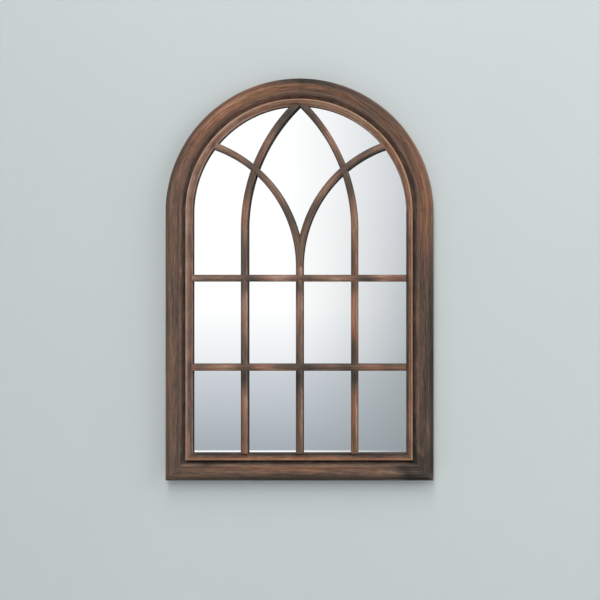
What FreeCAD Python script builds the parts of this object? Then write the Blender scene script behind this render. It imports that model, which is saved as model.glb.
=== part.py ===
import FreeCAD
import Part
import math
import os

from FreeCAD import Vector

# Arched wall mirror made like a small church window: a moulded frame of five members, a
# planted glazing bead, tracery bars lapped over one sheet of mirror glass, a hardboard
# back held by bent tabs, and two D-ring hangers.
# Millimetres. X runs to the viewer's right, Y into the wall, Z up. The origin lies on the
# wall, midway between the two points where the hanger rings bear on their hooks.

# Overall size
width = 400.0            # across the frame
height = 600.0           # bottom edge to the crown of the arch
wall_gap = 4.0           # back of the frame to the wall, filled by the bumpers

# Glass and back board
glass_thickness = 3.0
board_thickness = 3.0
board_recess = 2.5       # back face of the board below the back of the frame
glazing_clearance = 1.0  # glass and board edges to the rebate wall, sides and arch

# Frame moulding: widths run inwards from the outer edge, heights forwards from the back
moulding_width = 29.8
outer_side = 12.5        # straight outer side, below the rounded shoulder
shoulder_width = 8.5
shoulder_swell = 1.9     # rounding of the shoulder, which meets the crest at an arris
crest_height = 21.5
crest_flat = 3.0
crest_hollow = 0.6       # shallow hollow between the crest and the ridge
ridge_width = 6.0
ridge_drop = 3.0         # feet of the ridge below the crest
ridge_rise = 1.5         # top of the ridge above its feet
cove_width = 4.3         # steep drop from the ridge to the ledge
cove_hollow = 0.8
lip_thickness = 3.5      # wood in front of the glass
lip_reach = 6.2          # ledge that carries the bead, past the moulding
rebate_width = 8.0

# Glazing bead planted on the ledge
bead_groove = 1.4        # shadow line between moulding and bead
bead_width = 9.8
bead_rise = 7.5          # outer fillet above the ledge
bead_fillet = 2.4        # flat along the outer edge
bead_lip = 2.0           # flat along the inner edge
bead_lip_rise = 1.5      # inner flat above the ledge
bead_hollow = 1.4        # depth of the cavetto between the two flats
bead_arris = 0.8         # rounding of both edges

# Tracery bars, which lie on the glass
bar_width = 10.0
bar_side = 7.6           # straight side of a side mullion
bar_crown = 2.0          # rise of the rounded face above the sides
bar_step = 0.4           # each lapping bar stands this much prouder than the one below it
crown_rib_drop = 25.0    # crown ribs spring this far below the arch's spring line
crown_meet = 1.0         # inner edges of the crown ribs meet this far below the arch
y_rib_drop = 81.0        # the centre bar forks this far below the arch's spring line
y_rib_radius = 191.5     # centre line of the forked ribs
y_stem = 12.0            # centre bar above the upper transom, up to the fork

# Dowels in the butt joints and angled nails across the mitres
dowel_radius = 3.0
dowel_length = 24.0
dowel_pitch = 12.0
dowel_height = 8.0
dowel_clearance = 0.1
dowel_end_gap = 1.0
nail_inset = 5.0         # first corner of a nail from the outer edge
nail_pitch = 12.0
nail_leg = 6.0
nail_thickness = 0.6
nail_depth = 9.0

# Retaining tabs behind the back board
tab_width = 8.0
tab_thickness = 0.5
tab_grip = 6.0           # length driven into the rebate wall
tab_point = 3.0          # taper of the driven end
tab_reach = 9.0          # length over the board
stile_tabs = 3
arch_tabs = 2
rail_tabs = 2

# Hangers on the backs of the stiles
hanger_drop = 28.0       # strap eyes below the arch's spring line
strap_thickness = 0.8
strap_width = 10.0
strap_length = 30.0
eye_taper = 6.0          # folded legs meet this far below the eye
eye_clearance = 0.1
wire_radius = 1.0
ring_inner_radius = 8.0
ring_arm = 5.0           # straight side of the ring, from its bar to its bow
ring_corner = 2.5
screw_drops = (9.0, 22.0)
screw_radius = 1.75
screw_length = 12.0
screw_point = 4.0
screw_head_radius = 3.2
screw_head_edge = 0.6
screw_head_height = 1.9
screw_clearance = 0.15

# Wall bumpers
bumper_radius = 6.0
bumper_face_radius = 4.2
bumper_height = 45.0     # above the bottom edge

# Lines that several pieces share
half_width = width / 2
spring = height - half_width
rebate_depth = glass_thickness + board_thickness + board_recess
ledge = rebate_depth + lip_thickness
bead_top = ledge + bead_rise
bead_lip_top = ledge + bead_lip_rise
frame_front = max(crest_height, bead_top)
lip_edge = moulding_width + lip_reach
rebate_wall = lip_edge - rebate_width
bead_outer = moulding_width + bead_groove
bead_inner = bead_outer + bead_width
opening_half = half_width - bead_inner
mullion_x = (2 * opening_half + bar_width) / 4
crown_rib_spring = spring - crown_rib_drop
y_rib_spring = spring - y_rib_drop
upper_transom_height = y_rib_spring - y_stem - bar_width / 2
lower_transom_height = (bead_inner + upper_transom_height - bar_width / 2) / 2
member_middle = rebate_wall / 2
lap_level = bar_side / 2
centre_bar_side = bar_side + bar_step
transom_side = centre_bar_side + bar_step
eye_radius = wire_radius + eye_clearance
eye_outer = eye_radius + strap_thickness
eye_height = spring - hanger_drop
hook_height = eye_height + ring_arm + ring_inner_radius
hanger_x = half_width - member_middle


def at(x, forward, up):
    """A point from its distance right, forward of the frame's back, and above the bottom edge."""
    return Vector(x, -(wall_gap + forward), up - hook_height)


def face_of(place, start, *steps):
    """Closed face: each step is a point for a straight run, or (middle, end) for an arc."""
    edges = []
    here = start
    for step in (*steps, start):
        if isinstance(step[0], tuple):
            middle, end = step
            edges.append(Part.Arc(place(*here), place(*middle), place(*end)).toShape())
        else:
            end = step
            edges.append(Part.LineSegment(place(*here), place(*end)).toShape())
        here = end
    return Part.Face(Part.Wire(edges))


def arched_slab(half, bottom, back, front):
    """A slab with the mirror's outline: straight sides and a half-round head."""
    def place(x, up):
        return at(x, back, up)
    head = ((0.0, spring + half), (half, spring))
    face = face_of(place, (-half, bottom), (-half, spring), head, (half, bottom))
    return face.extrude(Vector(0, back - front, 0))


def turned(face, x, up, degrees):
    """The face swept about a horizontal axis that runs into the wall at x, up."""
    return face.revolve(at(x, 0, up), Vector(0, 1, 0), degrees)


def mirrored(shape):
    """The same piece on the other side of the mirror."""
    return shape.mirror(Vector(0, 0, 0), Vector(1, 0, 0))


def rod(base, direction, radius, length):
    return Part.makeCylinder(radius, length, base, direction)


def arc_middle(start, end, bulge):
    """Middle of a shallow arc from start to end that swells to the right of that line."""
    run = end[0] - start[0]
    rise = end[1] - start[1]
    chord = math.hypot(run, rise)
    middle = ((start[0] + end[0]) / 2, (start[1] + end[1]) / 2)
    return (middle[0] + bulge * rise / chord, middle[1] - bulge * run / chord)


# Frame members

def frame_section(place):
    """Rounded shoulder, flat crest, shallow hollow, ridge and cove, with a rebate at the back."""
    side_top = (0.0, outer_side)
    crest_start = (shoulder_width, crest_height)
    crest_end = (shoulder_width + crest_flat, crest_height)
    ridge_end = (moulding_width - cove_width, crest_height - ridge_drop)
    ridge_start = (ridge_end[0] - ridge_width, ridge_end[1])
    ledge_start = (moulding_width, ledge)
    return face_of(
        place, (0.0, 0.0), side_top,
        (arc_middle(side_top, crest_start, -shoulder_swell), crest_start), crest_end,
        (arc_middle(crest_end, ridge_start, crest_hollow), ridge_start),
        (arc_middle(ridge_start, ridge_end, -ridge_rise), ridge_end),
        (arc_middle(ridge_end, ledge_start, cove_hollow), ledge_start),
        (lip_edge, ledge), (lip_edge, rebate_depth), (rebate_wall, rebate_depth), (rebate_wall, 0.0))


def left_side(inward, forward):
    return at(-half_width + inward, forward, 0)


def left_spring(inward, forward):
    return at(-half_width + inward, forward, spring)


def bottom_side(inward, forward):
    return at(-half_width, forward, inward)


def rail_wedge():
    """The mitred region of the bottom members, as deep as the whole frame."""
    def place(x, up):
        return at(x, 0, up)
    inner = half_width - bead_inner
    face = face_of(place, (-half_width, 0.0), (half_width, 0.0), (inner, bead_inner), (-inner, bead_inner))
    return face.extrude(Vector(0, -frame_front, 0))


def left_member(section):
    """A straight left-hand member, mitred at its foot."""
    return section(left_side).extrude(Vector(0, 0, spring)).cut(rail_wedge())


def bottom_member(section):
    """A straight bottom member, mitred at both ends."""
    return section(bottom_side).extrude(Vector(width, 0, 0)).common(rail_wedge())


def left_arch_member(section):
    """The left quarter of the arch, from the spring line to the crown."""
    return turned(section(left_spring), 0, spring, 90)


# Glazing bead

def bead_section(place):
    """Raised outer fillet, cavetto, and a low inner flat whose return reaches the glass."""
    soft = bead_arris * (1 - math.sqrt(0.5))
    hollow_start = (bead_outer + bead_fillet, bead_top)
    hollow_end = (bead_inner - bead_lip, bead_lip_top)
    return face_of(
        place, (bead_outer, ledge), (bead_outer, bead_top - bead_arris),
        ((bead_outer + soft, bead_top - soft), (bead_outer + bead_arris, bead_top)), hollow_start,
        (arc_middle(hollow_start, hollow_end, bead_hollow), hollow_end),
        (bead_inner - bead_arris, bead_lip_top),
        ((bead_inner - soft, bead_lip_top - soft), (bead_inner, bead_lip_top - bead_arris)),
        (bead_inner, rebate_depth), (lip_edge, rebate_depth), (lip_edge, ledge))


# Tracery bars

def bar_section(place, side):
    """Flat on the glass, straight sides and a rounded face. place takes across, above the glass."""
    edge = bar_width / 2
    return face_of(place, (-edge, 0.0), (-edge, side), ((0.0, side + bar_crown), (edge, side)), (edge, 0.0))


def upright_bar(x, side, top):
    def place(across, above):
        return at(x + across, rebate_depth + above, bead_inner)
    return bar_section(place, side).extrude(Vector(0, 0, top - bead_inner))


def level_bar(up):
    def place(across, above):
        return at(-opening_half, rebate_depth + above, up + across)
    return bar_section(place, transom_side).extrude(Vector(2 * opening_half, 0, 0))


def curved_bar(x, up, radius, side, degrees):
    """A rib that leaves x, up vertically. A positive radius bends it to the right."""
    def place(across, above):
        return at(x + across, rebate_depth + above, up)
    return turned(bar_section(place, side), x + radius, up, math.copysign(degrees, radius))


def band(low, high):
    """Everything between two heights above the glass."""
    return Part.makeBox(width, high - low, height, at(-half_width, rebate_depth + high, 0))


def half_lap(front, back):
    """Lets the front bar over the back one: each loses the half that the other fills."""
    top = transom_side + bar_crown
    notch = back.common(band(0, lap_level))
    cover = front.common(band(lap_level, top))
    return front.cut(notch), back.cut(cover)


def left_half():
    """Everything left of the centre line, in front of the glass."""
    return Part.makeBox(half_width, crest_height, height, at(-half_width, rebate_depth + crest_height, 0))


def tracery():
    """The bars, trimmed to the bead and lapped where they cross."""
    opening = arched_slab(opening_half, bead_inner, rebate_depth, rebate_depth + crest_height)
    crown_rise = spring + opening_half - crown_meet - crown_rib_spring
    edge = bar_width / 2
    crown_radius = (crown_rise ** 2 + mullion_x ** 2 - edge ** 2) / (2 * (mullion_x - edge))
    crown_sweep = math.degrees(math.atan2(crown_rise, crown_radius - mullion_x))
    spare_sweep = math.degrees(bar_width / crown_radius) * 2
    side_bar = upright_bar(-mullion_x, bar_side, crown_rib_spring)
    centre_bar = upright_bar(0, centre_bar_side, y_rib_spring)
    crown_rib = curved_bar(-mullion_x, crown_rib_spring, crown_radius, bar_side, crown_sweep + spare_sweep)
    crown_rib = crown_rib.common(opening).common(left_half())
    y_rib = curved_bar(0, y_rib_spring, -y_rib_radius, centre_bar_side, 90)
    y_rib = y_rib.common(opening).common(left_half())
    y_rib, crown_rib = half_lap(y_rib, crown_rib)
    other_side_bar = mirrored(side_bar)
    transoms = []
    for up in (lower_transom_height, upper_transom_height):
        transom = level_bar(up)
        transom, side_bar = half_lap(transom, side_bar)
        transom, centre_bar = half_lap(transom, centre_bar)
        transom, other_side_bar = half_lap(transom, other_side_bar)
        transoms.append(transom)
    return {
        "left_mullion": side_bar,
        "centre_mullion": centre_bar,
        "right_mullion": other_side_bar,
        "lower_transom": transoms[0],
        "upper_transom": transoms[1],
        "left_crown_rib": crown_rib,
        "right_crown_rib": mirrored(crown_rib),
        "left_y_rib": y_rib,
        "right_y_rib": mirrored(y_rib),
    }


# Joint fastenings inside the frame

def dowels(radius, length):
    """Two pins across the left spring joint, then two across the crown joint."""
    pins = []
    for inward in (member_middle - dowel_pitch / 2, member_middle + dowel_pitch / 2):
        foot = at(-half_width + inward, dowel_height, spring - length / 2)
        pins.append(rod(foot, Vector(0, 0, 1), radius, length))
    for inward in (member_middle - dowel_pitch / 2, member_middle + dowel_pitch / 2):
        foot = at(-length / 2, dowel_height, height - inward)
        pins.append(rod(foot, Vector(1, 0, 0), radius, length))
    return pins


def corner_nails():
    """Angled nails driven from the back across the left mitre, one leg in each member."""
    def place(x, up):
        return at(x, 0, up)
    nails = []
    for inset in (nail_inset, nail_inset + nail_pitch):
        start = -half_width + inset
        end = start + nail_leg
        face = face_of(
            place, (start, inset), (end, inset), (end, inset + nail_thickness),
            (start + nail_thickness, inset + nail_thickness),
            (start + nail_thickness, inset + nail_leg), (start, inset + nail_leg))
        nails.append(face.extrude(Vector(0, -nail_depth, 0)))
    return nails


# Retaining tabs

def tab(place):
    """A steel tab: its point driven into the rebate wall, its round nose on the back of the board."""
    edge = tab_width / 2
    tip = rebate_wall - tab_grip
    nose = rebate_wall + tab_reach
    face = face_of(
        place, (tip, 0.0), (tip + tab_point, -edge), (nose - edge, -edge),
        ((nose, 0.0), (nose - edge, edge)), (tip + tab_point, edge))
    return face.extrude(Vector(0, tab_thickness, 0))


def left_tab(up):
    def place(inward, across):
        return at(-half_width + inward, board_recess, up + across)
    return tab(place)


def bottom_tab(x):
    def place(inward, across):
        return at(x + across, board_recess, inward)
    return tab(place)


def left_tabs():
    """Tabs of the left stile and the left half of the arch."""
    tabs = []
    step = (spring - rebate_wall) / stile_tabs
    for number in range(stile_tabs):
        tabs.append(left_tab(rebate_wall + step * (number + 0.5)))
    for number in range(arch_tabs):
        tab = left_tab(spring)
        tab.rotate(at(0, 0, spring), Vector(0, 1, 0), 90 * (number + 0.5) / arch_tabs)
        tabs.append(tab)
    return tabs


def bottom_tabs():
    tabs = []
    step = 2 * (half_width - rebate_wall) / rail_tabs
    for number in range(rail_tabs):
        tabs.append(bottom_tab(-half_width + rebate_wall + step * (number + 0.5)))
    return tabs


# Hangers

def hanger_strap():
    """A steel strip folded round the ring's bar, its two legs screwed to the left stile."""
    def place(up, behind):
        return at(-hanger_x - strap_width / 2, -behind, eye_height + up)
    stack = 2 * strap_thickness
    reach = math.hypot(eye_taper, eye_outer - stack)
    slope = math.atan2(eye_outer - stack, eye_taper) + math.asin(eye_outer / reach)
    normal = (-math.sin(slope), math.cos(slope))
    outer_touch = (eye_outer * normal[0], eye_outer * (1 + normal[1]))
    inner_touch = (eye_radius * normal[0], eye_outer + eye_radius * normal[1])
    inner_taper = inner_touch[0] - (inner_touch[1] - strap_thickness) / math.tan(slope)
    strip = face_of(
        place, (-strap_length, 0.0), (0.0, 0.0), ((eye_outer, eye_outer), outer_touch),
        (-eye_taper, stack), (-strap_length, stack))
    hole = face_of(
        place, (0.0, strap_thickness), ((eye_radius, eye_outer), inner_touch),
        (inner_taper, strap_thickness))
    along = Vector(strap_width, 0, 0)
    strap = strip.extrude(along).cut(hole.extrude(along))
    strap = strap.common(strap_outline())
    for drop in screw_drops:
        foot = at(-hanger_x, 0, eye_height - drop)
        strap = strap.cut(rod(foot, Vector(0, 1, 0), screw_radius + screw_clearance, stack))
    return strap


def strap_outline():
    """Straight sides and a round foot, seen from behind."""
    def place(across, up):
        return at(-hanger_x + across, 0, eye_height + up)
    edge = strap_width / 2
    foot = edge - strap_length
    face = face_of(
        place, (-edge, eye_outer), (-edge, foot), ((0.0, -strap_length), (edge, foot)), (edge, eye_outer))
    return face.extrude(Vector(0, 2 * eye_outer, 0))


def hanger_ring():
    """A D-shaped wire ring standing up from the eye of the left strap."""
    plane = -eye_outer
    side = ring_inner_radius + wire_radius
    run = side - ring_corner

    def centre(across, up):
        return at(-hanger_x + across, plane, eye_height + up)
    wire = rod(centre(-run, 0), Vector(1, 0, 0), wire_radius, 2 * run)
    along_bar = Part.Face(Part.Wire(Part.makeCircle(wire_radius, centre(run, 0), Vector(1, 0, 0))))
    bend = along_bar.revolve(centre(run, ring_corner), Vector(0, 1, 0), -90)
    arm = rod(centre(side, ring_corner), Vector(0, 0, 1), wire_radius, ring_arm - ring_corner)
    on_arm = Part.Face(Part.Wire(Part.makeCircle(wire_radius, centre(side, ring_arm), Vector(0, 0, 1))))
    bow = on_arm.revolve(centre(0, ring_arm), Vector(0, 1, 0), -180)
    halves = [bend, arm]
    for piece in (bend, arm):
        halves.append(piece.mirror(centre(0, 0), Vector(1, 0, 0)))
    return wire.fuse(halves + [bow]).removeSplitter()


def hanger_screws():
    """Pan-head wood screws through the left strap into the stile."""
    stack = 2 * strap_thickness
    top = stack + screw_head_height
    shoulder = stack + screw_head_edge
    tip = stack - screw_length
    dome = screw_head_height - screw_head_edge
    dome_radius = (screw_head_radius ** 2 + dome ** 2) / (2 * dome)
    half_angle = math.asin(screw_head_radius / dome_radius) / 2
    dome_middle = (dome_radius * math.sin(half_angle), top - dome_radius * (1 - math.cos(half_angle)))
    screws = []
    for drop in screw_drops:
        def place(radius, behind):
            return at(-hanger_x + radius, -behind, eye_height - drop)
        face = face_of(
            place, (0.0, tip), (screw_radius, tip + screw_point), (screw_radius, stack),
            (screw_head_radius, stack), (screw_head_radius, shoulder), (dome_middle, (0.0, top)))
        screws.append(turned(face, -hanger_x, eye_height - drop, 360))
    return screws


def bumper():
    """A soft tapered button on the foot of the left stile."""
    def place(radius, behind):
        return at(-hanger_x + radius, -behind, bumper_height)
    shoulder = arc_middle((bumper_radius, wall_gap / 2), (bumper_face_radius, wall_gap), wall_gap / 8)
    face = face_of(
        place, (0.0, 0.0), (bumper_radius, 0.0), (bumper_radius, wall_gap / 2),
        (shoulder, (bumper_face_radius, wall_gap)), (0.0, wall_gap))
    return turned(face, -hanger_x, bumper_height, 360)


def both(pieces):
    """The given left-hand pieces with their right-hand twins."""
    return pieces + [mirrored(piece) for piece in pieces]


def frame_pieces(tabs, nails, screws):
    """Stiles, rail and arch, with the holes and slots of what is driven into them."""
    holes = dowels(dowel_radius + dowel_clearance, dowel_length + 2 * dowel_end_gap)
    stile = left_member(frame_section).cut(holes + tabs + nails + screws)
    arch = left_arch_member(frame_section).cut(holes + tabs)
    rail = bottom_member(frame_section).cut(bottom_tabs() + both(nails))
    return {
        "left_stile": stile,
        "right_stile": mirrored(stile),
        "bottom_rail": rail,
        "left_arch_rail": arch,
        "right_arch_rail": mirrored(arch),
    }


def bead_pieces():
    stile_bead = left_member(bead_section)
    arch_bead = left_arch_member(bead_section)
    return {
        "left_bead": stile_bead,
        "right_bead": mirrored(stile_bead),
        "bottom_bead": bottom_member(bead_section),
        "left_arch_bead": arch_bead,
        "right_arch_bead": mirrored(arch_bead),
    }


def glazing():
    """Mirror glass and back board, both standing on the bottom of the rebate."""
    half = half_width - rebate_wall - glazing_clearance
    board_front = board_recess + board_thickness
    return {
        "mirror_glass": arched_slab(half, rebate_wall, board_front, rebate_depth),
        "back_board": arched_slab(half, rebate_wall, board_recess, board_front),
    }


def hardware(tabs, nails, screws):
    """Hangers, fastenings and bumpers. Like pieces share a node."""
    left_pins = dowels(dowel_radius, dowel_length)
    strap = hanger_strap()
    ring = hanger_ring()
    return {
        "left_hanger_strap": strap,
        "right_hanger_strap": mirrored(strap),
        "left_hanger_ring": ring,
        "right_hanger_ring": mirrored(ring),
        "hanger_screws": Part.makeCompound(both(screws)),
        "retaining_tabs": Part.makeCompound(both(tabs) + bottom_tabs()),
        "corner_nails": Part.makeCompound(both(nails)),
        "frame_dowels": Part.makeCompound(both(left_pins[:2]) + left_pins[2:]),
        "wall_bumpers": Part.makeCompound(both([bumper()])),
    }


def main():
    tabs = left_tabs()
    nails = corner_nails()
    screws = hanger_screws()
    nodes = frame_pieces(tabs, nails, screws)
    nodes.update(bead_pieces())
    nodes.update(tracery())
    nodes.update(glazing())
    nodes.update(hardware(tabs, nails, screws))
    os.makedirs("parts", exist_ok=True)
    for name, shape in nodes.items():
        shape.exportStep(os.path.join("parts", name + ".step"))
        print(f"{name}: {len(shape.Solids)} solid(s), {shape.Volume:.1f} mm3, valid {shape.isValid()}")


main()
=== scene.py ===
import math

import bmesh
import bpy
import numpy
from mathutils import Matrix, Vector


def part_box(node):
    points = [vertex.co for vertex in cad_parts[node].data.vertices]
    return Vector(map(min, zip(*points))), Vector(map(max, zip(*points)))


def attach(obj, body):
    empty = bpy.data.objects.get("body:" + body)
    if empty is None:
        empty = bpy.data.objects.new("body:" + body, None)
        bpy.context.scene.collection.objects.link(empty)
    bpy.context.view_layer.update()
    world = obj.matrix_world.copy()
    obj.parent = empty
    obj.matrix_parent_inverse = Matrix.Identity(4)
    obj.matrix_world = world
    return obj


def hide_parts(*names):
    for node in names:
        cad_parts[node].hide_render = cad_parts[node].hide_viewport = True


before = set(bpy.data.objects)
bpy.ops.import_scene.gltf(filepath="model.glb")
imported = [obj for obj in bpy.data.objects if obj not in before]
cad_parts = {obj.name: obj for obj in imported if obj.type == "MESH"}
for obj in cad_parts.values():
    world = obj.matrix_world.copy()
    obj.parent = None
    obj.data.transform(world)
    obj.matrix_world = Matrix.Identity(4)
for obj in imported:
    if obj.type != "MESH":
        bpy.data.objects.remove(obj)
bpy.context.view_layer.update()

bl_info = {
    "name": "Arched Window Mirror",
    "version": (1, 0, 0),
    "blender": (4, 5, 0),
    "location": "View3D > Sidebar > Mirror",
    "description": "Dresses an arched wall mirror whose glass lies behind window tracery",
    "category": "Object",
}

# Metres. X runs to the viewer's right, Y into the wall, Z up, and the wall is at Y = 0.
# Lines that several pieces share, taken from the frame.
stile_low, stile_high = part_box("left_stile")
bead_low, bead_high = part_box("left_bead")
glass_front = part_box("mirror_glass")[0].y
half_width = -stile_low.x
bottom = stile_low.z
spring = stile_high.z
frame_back = stile_high.y
crest_height = frame_back - stile_low.y
bead_top = frame_back - bead_low.y
rebate_depth = frame_back - glass_front
lip_edge = stile_high.x + half_width
bead_outer = bead_low.x + half_width
bead_inner = bead_high.x + half_width
opening_half = half_width - bead_inner
opening_bottom = bottom + bead_inner
opening_top = spring + opening_half
mm = 0.001


def linear(hex_colour):
    """Linear RGBA from an sRGB hex colour."""
    channels = [int(hex_colour[place:place + 2], 16) / 255 for place in (1, 3, 5)]
    curve = [c / 12.92 if c <= 0.04045 else ((c + 0.055) / 1.055) ** 2.4 for c in channels]
    return (*curve, 1.0)


def length(name, description, default):
    return bpy.props.FloatProperty(
        name=name, description=description, default=default, min=0.0, precision=4, unit="LENGTH")


def colour(name, description, default):
    return bpy.props.FloatVectorProperty(
        name=name, description=description, default=linear(default), size=4, min=0.0, max=1.0,
        subtype="COLOR")


class MirrorSizes(bpy.types.PropertyGroup):
    """Sizes of the mouldings, bars and screws that the frame's boxes do not give."""

    outer_side: length("Outer side", "Straight outer side below the rounded shoulder", 12.5 * mm)
    shoulder_width: length("Shoulder", "Rounded shoulder between the outer side and the crest", 8.5 * mm)
    shoulder_swell: length("Shoulder swell", "Rounding of the shoulder", 1.9 * mm)
    crest_flat: length("Crest", "Flat along the top of the moulding", 3 * mm)
    crest_hollow: length("Crest hollow", "Shallow hollow between the crest and the ridge", 0.6 * mm)
    moulding_width: length("Moulding", "Outer edge to the groove beside the bead", 29.8 * mm)
    ridge_width: length("Ridge", "Small round ridge inside the hollow", 6 * mm)
    ridge_drop: length("Ridge drop", "Feet of the ridge below the crest", 3 * mm)
    ridge_rise: length("Ridge rise", "Top of the ridge above its feet", 1.5 * mm)
    cove_width: length("Cove", "Steep drop from the ridge to the groove", 4.3 * mm)
    cove_hollow: length("Cove hollow", "Depth of the cove", 0.8 * mm)
    lip_thickness: length("Lip", "Wood between the glass and the bead", 3.5 * mm)
    rebate_width: length("Rebate", "Ledge that the glass lies on", 8 * mm)
    bead_fillet: length("Fillet", "Flat along the outer edge of the bead", 2.4 * mm)
    bead_lip: length("Bead lip", "Flat along the inner edge of the bead", 2 * mm)
    bead_lip_rise: length("Lip rise", "Inner flat of the bead above the wood under it", 1.5 * mm)
    bead_hollow: length("Cavetto", "Depth of the hollow between the flats of the bead", 1.4 * mm)
    bead_arris: length("Arris", "Rounding of the edges of the bead", 0.8 * mm)
    bar_side: length("Bar side", "Straight sides of the bars, up from the glass", 7.6 * mm)
    screw_head: length("Screw head", "Radius of the heads of the hanger screws", 3.2 * mm)
    screw_rise: length("Screw rise", "Height of the heads of the hanger screws", 1.9 * mm)
    crown_rib_radius: length("Crown ribs", "Radius of the ribs that rise from the side bars", 260.96 * mm)
    y_rib_radius: length("Forked ribs", "Radius of the ribs that fork from the centre bar", 191.5 * mm)


class MirrorColours(bpy.types.PropertyGroup):
    """Paint, board and fitting colours."""

    undercoat: colour("Undercoat", "Near-black brown left in the grooves", "#28221e")
    umber: colour("Umber", "Dark brown coat that the brush skips", "#4a413d")
    soot: colour("Soot", "Grey-black rubbed on near the crossings of the bars", "#4a4642")
    bronze: colour("Bronze", "Brown that covers most of the wood", "#6f5c54")
    copper: colour("Copper", "Lighter brown on the broad faces", "#9b796c")
    rubbed: colour("Rubbed", "Pale pinkish tan where edges are rubbed", "#bfa599")
    glaze: colour("Glaze", "Orange glaze over the paint, where it is thickest", "#ffe9d2")
    board: colour("Hardboard", "Pressed fibre of the back board", "#7b5b3f")
    zinc: colour("Zinc", "Plating of the hangers and tabs", "#c3c6c4")
    rubber: colour("Rubber", "Buttons that touch the wall", "#33302e")
    beech: colour("Beech", "Pins inside the frame", "#c79f72")


class MirrorStage(bpy.types.PropertyGroup):
    """Camera and studio."""

    picture_width: length("Picture width", "Width of the view at the front of the frame", 895.4 * mm)
    picture_middle: length("Picture middle", "Middle of the view above the bottom edge", 269.4 * mm)
    picture_side: length("Picture side", "Middle of the view to the right of the centre line", 0.6 * mm)
    camera_distance: length("Camera distance", "Camera to the front of the frame", 1.3)
    camera_side: length("Camera side", "Camera to the right of the centre line", 179 * mm)
    wall: colour("Wall", "Cool pale plaster", "#d2d9d9")
    floor: colour("Floor", "Pale studio floor", "#d8dada")


# Node trees

def add(tree, kind, inputs=None, **settings):
    """Adds a node. Settings go on the node, and inputs are set on sockets or linked to nodes and sockets."""
    node = tree.nodes.new(kind)
    for name, value in settings.items():
        setattr(node, name, value)
    for key, value in (inputs or {}).items():
        if isinstance(value, bpy.types.Node):
            tree.links.new(value.outputs[0], node.inputs[key])
        elif isinstance(value, bpy.types.NodeSocket):
            tree.links.new(value, node.inputs[key])
        else:
            node.inputs[key].default_value = value
    return node


def new_material(name):
    """A material with an empty tree, which the caller fills."""
    material = bpy.data.materials.new(name)
    material.use_nodes = True
    material.node_tree.nodes.clear()
    return material, material.node_tree


def finished(material, shader):
    """The material, with this shader as its surface."""
    add(material.node_tree, "ShaderNodeOutputMaterial", {"Surface": shader})
    return material


def set_stops(ramp, stops):
    """Gives a colour ramp these (position, colour) stops."""
    elements = ramp.color_ramp.elements
    while len(elements) < len(stops):
        elements.new(0.5)
    for element, (position, value) in zip(elements, stops):
        element.position = position
        element.color = value
    return ramp.outputs["Color"]


def grey(value):
    return (value, value, value, 1.0)


# Materials

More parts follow.
